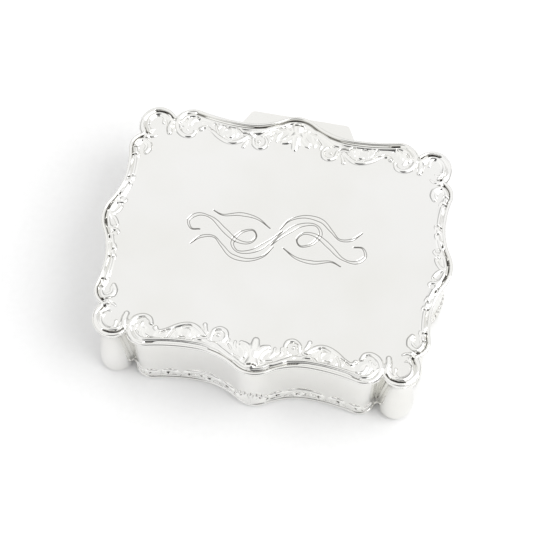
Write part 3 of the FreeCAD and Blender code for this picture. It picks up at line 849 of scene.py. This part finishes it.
# Strokes of half a side, from its middle: distance along and height, with the widths along them.
FOOT_STROKES = [
    ([(5.2, 3.2), (6.6, 6.0), (9.2, 8.0), (11.6, 7.2), (11.4, 5.2), (9.8, 5.0)],
     [1.2, 1.7, 1.8, 1.6, 1.4, 1.2]),
    ([(7.6, 3.2), (10.4, 3.4), (13.6, 4.2)], [0.9, 1.4, 0.8]),
    ([(12.2, 4.4), (13.6, 7.4), (16.4, 8.9), (20.0, 9.1), (23.4, 8.6), (26.2, 7.0), (27.0, 4.8),
      (25.4, 3.8)],
     [1.0, 1.5, 1.7, 1.6, 1.7, 1.6, 1.4, 1.1]),
    ([(15.0, 6.4), (16.4, 4.8), (18.6, 4.4)], [1.0, 1.6, 1.0]),
    ([(18.2, 7.4), (19.0, 5.8), (21.0, 5.0)], [0.9, 1.6, 0.9]),
    ([(21.4, 7.2), (22.0, 5.6), (23.8, 5.2)], [0.9, 1.5, 0.9]),
    ([(14.0, 3.4), (19.0, 3.2), (24.0, 3.4)], [0.9, 1.2, 0.9]),
    ([(28.0, 3.6), (28.8, 6.2), (31.4, 8.0), (34.0, 7.2), (34.0, 5.2), (32.2, 4.8)],
     [1.0, 1.5, 1.7, 1.6, 1.4, 1.1]),
    ([(29.6, 3.4), (32.0, 3.4), (34.6, 3.8)], [0.9, 1.2, 0.8]),
    ([(35.4, 4.0), (36.4, 6.6), (38.8, 7.6), (40.8, 6.2), (39.6, 4.6)], [1.0, 1.5, 1.6, 1.4, 1.1]),
    ([(41.6, 3.6), (42.6, 6.2), (45.0, 7.0)], [1.0, 1.5, 1.0]),
]
FOOT_STRETCH = (1.0, 1.12)
FOOT_SWELL = 1.2
FOOT_BALLS = [(10.0, 5.6, 1.8), (25.2, 4.6, 1.7), (32.4, 5.6, 1.7), (39.4, 5.4, 1.6)]
FOOT_PITS = [
    ([(9.2, 7.0), (10.4, 6.7)], 1.0), ([(12.6, 4.6), (13.6, 5.4)], 0.9), ([(15.6, 8.0), (17.2, 8.4)], 0.9),
    ([(19.6, 8.9), (22.4, 8.5)], 1.1), ([(17.0, 5.6), (17.8, 6.2)], 0.9), ([(20.2, 6.2), (20.9, 6.8)], 0.9),
    ([(24.0, 6.4), (24.9, 5.8)], 1.0), ([(27.2, 5.2), (28.0, 4.4)], 0.9), ([(30.6, 6.8), (32.6, 6.9)], 1.0),
    ([(34.8, 5.4), (35.4, 4.6)], 0.9), ([(37.8, 6.4), (39.2, 6.2)], 0.9), ([(41.0, 5.0), (41.6, 4.4)], 0.8),
    ([(5.6, 5.8), (6.2, 6.9)], 0.9), ([(7.6, 4.4), (8.4, 4.6)], 0.8), ([(3.4, 9.8), (4.4, 9.4)], 0.8),
]
SHELL_RIBS = 5
SHELL_SPREAD = 58.0
SHELL_ROOT = (0.0, 2.6)
SHELL_REACHES = {"long": 9.6, "short": 7.2}
SHELL_SHRINK = 0.22
SHELL_RIB_WIDTHS = [0.9, 1.5, 2.2]
SHELL_RIB_LIFT = 0.42
SHELL_ROOM = 4.2
FOOT_BEAD_TOP = 2.4
FOOT_BEAD_HALF = 0.95
FOOT_BEAD_RISE = 0.5
FOOT_GROOVE_WIDTH = 0.7
FOOT_GROOVE_DEPTH = 0.3

# A side's line ends where its depth over its length passes these.
LONG_SIDE_END = 0.9
SHORT_SIDE_END = 0.66


def foot_relief(length, shell_reach):
    """Height of the foot border over half a side, from its middle: a plain bead at the bottom, a
    ribbed shell on the crest and scrolls running out from it."""
    r = Relief((0.0, length), (BORDER_BOTTOM, BORDER_TOP + SHELL_ROOM), RELIEF_STEP)
    all_along = np.ones(len(r.u))
    r.ridge(np.column_stack([r.u, all_along * (BORDER_BOTTOM + FOOT_BEAD_TOP) / 2]),
            all_along * FOOT_BEAD_HALF, all_along * FOOT_BEAD_RISE)
    for points, widths in FOOT_STROKES:
        r.stroke(np.array(points) * FOOT_STRETCH, np.array(widths) * FOOT_SWELL)
    for u, v, width in FOOT_BALLS:
        r.ball(u, v * FOOT_STRETCH[1], width * FOOT_SWELL)
    for rib in range(SHELL_RIBS):
        aside = rib / (SHELL_RIBS - 1)
        turn = math.radians(SHELL_SPREAD * aside)
        reach = shell_reach * (1 - SHELL_SHRINK * aside)
        tip = (SHELL_ROOT[0] + reach * math.sin(turn), SHELL_ROOT[1] + reach * math.cos(turn))
        middle = (tip[0] * 0.55, (tip[1] - SHELL_ROOT[1]) * 0.6 + SHELL_ROOT[1])
        r.stroke([SHELL_ROOT, middle, tip], SHELL_RIB_WIDTHS, SHELL_RIB_LIFT)
    r.soften()
    for points, width in FOOT_PITS:
        r.sink(smooth_path(points), width * PIT_SPREAD, PIT_DEPTH)
    r.sink(np.column_stack([r.u, all_along * FOOT_BEAD_TOP]), FOOT_GROOVE_WIDTH, FOOT_GROOVE_DEPTH)
    r.height = np.maximum(r.height, r.floor)
    return r


def side_points(long_side):
    """Half of one side's wall line from its crest to the pillar: distance along, points, normals."""
    quarter = quarter_line(WALL_SETBACK, False)
    if long_side:
        line = quarter[quarter[:, 1] > quarter[:, 0] * LONG_SIDE_END]
        return length_along(line), line, normals_of(line)
    line = quarter[quarter[:, 1] < quarter[:, 0] * SHORT_SIDE_END][::-1]
    return length_along(line), line, -normals_of(line)


def add_foot_border():
    """Eight half sides of cast border, set on the wall's line and standing out along its normals."""
    for side, shell_reach in SHELL_REACHES.items():
        long_side = side == "long"
        along, line, normal = side_points(long_side)
        relief = foot_relief(along[-1], shell_reach)
        keep = kept_cells(relief.height)
        relief.height = np.minimum(relief.height, WALL_SETBACK - BORDER_SETBACK)
        for sign_x in (-1, 1):
            for sign_y in (-1, 1):
                def place(u, v, height):
                    x = np.interp(u, along, line[:, 0]) + height * np.interp(u, along, normal[:, 0])
                    y = np.interp(u, along, line[:, 1]) + height * np.interp(u, along, normal[:, 1])
                    return np.stack([sign_x * x, sign_y * y, v], 2)
                ends = ("rear" if sign_y > 0 else "front", "right" if sign_x > 0 else "left")
                name = "foot_border_%s_%s_%s" % (side, *ends)
                piece = add_relief_piece(name, relief, place, keep, "box", "base_border")
                if (sign_x * sign_y > 0) == long_side:
                    piece.data.flip_normals()


add_foot_border()


# ---------------------------------------------------------------- lining: velvet pads and felt


def closed_disc(rings, low_pole, high_pole):
    """Points and faces of a closed form that is star-shaped from above: rings of points from the
    bottom outwards, up the side and in again over the top, with a point at each end."""
    rings = np.asarray(rings)
    rows, columns = rings.shape[:2]
    points = np.concatenate([rings.reshape(-1, 3), [low_pole, high_pole]])
    i = np.arange(rows - 1)[:, None] * columns
    j = np.arange(columns)[None, :]
    k = (j + 1) % columns
    quads = np.stack([i + j, i + k, i + columns + k, i + columns + j], 2).reshape(-1, 4)
    after = [*range(1, columns), 0]
    last = (rows - 1) * columns
    low = [(rows * columns, after[j], j) for j in range(columns)]
    high = [(last + j, last + after[j], rows * columns + 1) for j in range(columns)]
    return points, quads.tolist() + low + high


def even_line(setback, count):
    """Outline of the walls drawn in by the setback, as evenly spaced points."""
    line = outline(setback, False)
    line = np.concatenate([line, line[:1]])
    along = length_along(line)
    place = np.arange(count) * along[-1] / count
    return np.column_stack([np.interp(place, along, line[:, 0]), np.interp(place, along, line[:, 1])])


def ring_at(line, share, height):
    """The line drawn in towards the middle to a share of its size, at one height."""
    return np.column_stack([line * share, np.full(len(line), height)])


PAD_POINTS = 168
PAD_SHARES = (0.985, 0.955, 0.91, 0.86, 0.80, 0.73, 0.66, 0.59, 0.52, 0.45, 0.38, 0.31, 0.24, 0.17, 0.10)
PAD_SIDE = ((0.996, 0.0), (1.0, 0.35), (0.997, 0.8))
PAD_EDGE = 0.55
PAD_RISE = 0.97
SIM_SCALE = 10.0
PAD_PRESSURE = 4.0
SIM_FRAMES = 20


def swollen(points, faces, free):
    """The form after cloth simulation under its own air pressure, with only the free points able
    to move.  It runs ten times larger, where the solver's distances suit it."""
    mesh = bpy.data.meshes.new("pad cloth")
    mesh.from_pydata((points * MM * SIM_SCALE).tolist(), [], faces)
    pad = bpy.data.objects.new("pad cloth", mesh)
    bpy.context.scene.collection.objects.link(pad)
    pinned = pad.vertex_groups.new(name="pinned")
    pinned.add([int(index) for index in np.nonzero(~free)[0]], 1.0, "REPLACE")
    cloth = pad.modifiers.new("cloth", "CLOTH")
    cloth.settings.quality = 6
    cloth.settings.mass = 0.3
    cloth.settings.tension_stiffness = 15
    cloth.settings.compression_stiffness = 15
    cloth.settings.bending_stiffness = 0.5
    cloth.settings.vertex_group_mass = "pinned"
    cloth.settings.use_pressure = True
    cloth.settings.uniform_pressure_force = PAD_PRESSURE
    cloth.settings.effector_weights.gravity = 0.0
    cloth.point_cache.frame_end = SIM_FRAMES
    for step in range(1, SIM_FRAMES + 1):
        bpy.context.scene.frame_set(step)
    shaped = pad.evaluated_get(bpy.context.evaluated_depsgraph_get())
    moved = np.empty(len(points) * 3)
    shaped.data.vertices.foreach_get("co", moved)
    bpy.context.scene.frame_set(1)
    bpy.data.objects.remove(pad)
    return moved.reshape(-1, 3) / (MM * SIM_SCALE)


def add_pad(name, node, body, face_up):
    """Velvet pad that fills its place in the frame: it starts as a flat form with a low rolled
    edge, swells by simulation, and what it rises is held within the thickness there is."""
    low, high = extent(node)[0][2], extent(node)[1][2]
    thick = high - low
    line = even_line(HALF_LENGTH - extent(node)[1][0], PAD_POINTS)
    edge = PAD_EDGE * thick
    back = [ring_at(line, share, 0.0) for share in reversed(PAD_SHARES)]
    side = [ring_at(line, share, height * edge) for share, height in PAD_SIDE]
    face = [ring_at(line, share, edge) for share in PAD_SHARES]
    points, faces = closed_disc(back + side + face, (0, 0, 0), (0, 0, edge))
    free = np.zeros(len(points), bool)
    free[(len(back) + 2) * PAD_POINTS:] = True
    free[-2] = False
    rise = swollen(points, faces, free)[:, 2] - points[:, 2]
    rise = np.clip(rise, 0, None)
    points[:, 2] += rise / max(rise.max(), 1e-6) * (thick - edge) * PAD_RISE
    if face_up:
        points[:, 2] += low
    else:
        points[:, 2] = high - points[:, 2]
        faces = [tuple(reversed(face)) for face in faces]
    piece = make_piece(name, points, faces, body, VELVET, 60.0, node)
    smooth = piece.modifiers.new("smooth", "SUBSURF")
    smooth.levels = 1
    smooth.render_levels = 1


add_pad("velvet_floor_pad", "floor_pad", "box", True)
add_pad("velvet_lid_pad", "lid_pad", "lid", False)


LINING_THICK = 1.0
LINING_SWELL = 0.12
LINING_ROWS = 12
LINING_POINTS = 480
LINING_CLEAR = 0.05
FELT_POINTS = 360
FELT_EDGE = 0.25
FELT_SHARES = (0.35, 0.7, 1.0)


def add_wall_lining():
    """Velvet round the well's wall: a strip whose top edge is rolled over and whose inner face
    swells by half a sine wave between its foot and its top."""
    low, high = extent("wall_lining")
    outer = HALF_LENGTH - high[0]
    inner = outer + LINING_THICK
    heights = np.linspace(low[2] + LINING_CLEAR, high[2] - LINING_THICK / 2, LINING_ROWS)
    swell = LINING_SWELL * np.sin(np.linspace(0, math.pi, LINING_ROWS))
    inside = [(inner - 0.14 + bulge, height) for bulge, height in zip(swell, heights)]
    roll = arc_points(((outer + inner) / 2, high[2] - LINING_THICK / 2), (0.48, 0.5), 0, 180, 8)
    profile = inside[:-1] + roll + [(outer + 0.02, low[2] + LINING_CLEAR)]
    grid = np.stack([ring_at(even_line(setback, LINING_POINTS), 1.0, height)
                     for setback, height in profile[::-1]], 1)
    rows, columns = grid.shape[:2]
    make_piece("velvet_wall_lining", grid.reshape(-1, 3), loop_faces(rows, columns), "box",
               VELVET, 60.0, "wall_lining")


def add_base_felt():
    """Felt under the base, its cut edge slightly rounded."""
    low, high = extent("base_felt")
    setback = HALF_LENGTH - high[0]
    bottom, top = low[2], high[2]
    line = even_line(setback, FELT_POINTS)
    drawn = even_line(setback + FELT_EDGE, FELT_POINTS)
    rings = [ring_at(drawn, share, bottom) for share in FELT_SHARES]
    rings += [ring_at(line, 1.0, bottom + FELT_EDGE), ring_at(line, 1.0, top - FELT_EDGE)]
    rings += [ring_at(drawn, share, top) for share in reversed(FELT_SHARES)]
    points, faces = closed_disc(rings, (0, 0, bottom), (0, 0, top))
    make_piece("felt_base", points, faces, "box", FELT, 60.0, "base_felt")


add_wall_lining()
add_base_felt()


# ---------------------------------------------------------------- camera, light and floor

CAMERA_AZIMUTH = math.radians(10.6)
CAMERA_ELEVATION = math.radians(66.2)
CAMERA_ROLL = math.radians(-0.1)
CAMERA_LENS = 108.07

# In metres: how far the camera stands from the lid's centre, and how far it is shifted.
CAMERA_DISTANCE = 0.5696
CAMERA_ASIDE = 0.003329
CAMERA_BELOW = 0.008758

SKY = ((0.0, 0.32), (0.2, 0.62), (0.4, 0.94), (0.6, 1.11), (0.8, 1.12), (0.9, 1.01), (1.0, 1.03))
FRONT_PATCH = (0.130, -0.695, 0.707)
PATCH = ((0.0, 1.0), (0.905, 1.0), (0.96, 0.18), (1.0, 0.08))
FLOOR_HALF = 0.9


def add_camera():
    """Camera high in front and a little to the right, with a long lens."""
    level = math.cos(CAMERA_ELEVATION)
    back = np.array([math.sin(CAMERA_AZIMUTH) * level, -math.cos(CAMERA_AZIMUTH) * level,
                     math.sin(CAMERA_ELEVATION)])
    right = np.array([math.cos(CAMERA_AZIMUTH), math.sin(CAMERA_AZIMUTH), 0.0])
    up = np.cross(back, right)
    turned_right = right * math.cos(CAMERA_ROLL) + up * math.sin(CAMERA_ROLL)
    turned_up = -right * math.sin(CAMERA_ROLL) + up * math.cos(CAMERA_ROLL)
    data = bpy.data.cameras.new("camera")
    data.lens = CAMERA_LENS
    data.sensor_width = 36.0
    data.clip_start = 0.01
    camera = bpy.data.objects.new("camera", data)
    bpy.context.scene.collection.objects.link(camera)
    centre = np.array([0.0, 0.0, LID_TOP * MM])
    shift = turned_right * CAMERA_ASIDE + turned_up * CAMERA_BELOW
    matrix = np.eye(4)
    matrix[:3, :3] = np.stack([turned_right, turned_up, back], 1)
    matrix[:3, 3] = centre + back * CAMERA_DISTANCE - shift
    camera.matrix_world = Matrix(matrix.tolist())
    bpy.context.scene.camera = camera


def add_floor():
    """Pale matt floor sheet."""
    shader = Shader("pale paper floor")
    shader.set(Roughness=0.9)
    grain = shader.noise(400, 2)
    shader.link(shader.ramp(grain, (0.3, (0.93, 0.93, 0.93, 1)), (0.7, (0.95, 0.95, 0.95, 1))), "Base Color")
    corners = [(x * FLOOR_HALF, y * FLOOR_HALF, 0) for x, y in ((-1, -1), (1, -1), (1, 1), (-1, 1))]
    mesh = bpy.data.meshes.new("floor")
    mesh.from_pydata(corners, [], [(0, 1, 2, 3)])
    mesh.materials.append(shader.material)
    floor = bpy.data.objects.new("floor", mesh)
    bpy.context.scene.collection.objects.link(floor)


def add_world():
    """White room above, dimmer towards the horizon, with a dark patch in front, below the camera.
    The polished slopes pick it up as dark lines."""
    world = bpy.data.worlds.new("studio")
    world.use_nodes = True
    tree = world.node_tree
    direction = tree.nodes.new("ShaderNodeTexCoord").outputs["Generated"]
    split = tree.nodes.new("ShaderNodeSeparateXYZ")
    tree.links.new(direction, split.inputs["Vector"])
    sky = ramp_node(tree, split.outputs["Z"], SKY)
    facing = tree.nodes.new("ShaderNodeVectorMath")
    facing.operation = "DOT_PRODUCT"
    tree.links.new(direction, facing.inputs[0])
    facing.inputs[1].default_value = FRONT_PATCH
    patch = ramp_node(tree, facing.outputs["Value"], PATCH)
    glow = tree.nodes["Background"]
    tree.links.new(mix_node(tree, "MULTIPLY", 1.0, sky, patch), glow.inputs["Color"])
    glow.inputs["Strength"].default_value = 1.0
    bpy.context.scene.world = world


def add_light(name, spot, size, power):
    """Soft square light that looks at the object."""
    data = bpy.data.lights.new(name, "AREA")
    data.size = size
    data.energy = power
    light = bpy.data.objects.new(name, data)
    bpy.context.scene.collection.objects.link(light)
    light.location = spot
    direction = Vector((0, 0, 0.02)) - Vector(spot)
    light.rotation_euler = direction.to_track_quat("-Z", "Y").to_euler()


add_camera()
add_floor()
add_world()
add_light("overhead softbox", (0.66, -0.08, 0.85), 0.8, 4.7)
bpy.context.scene.view_settings.view_transform = "Standard"
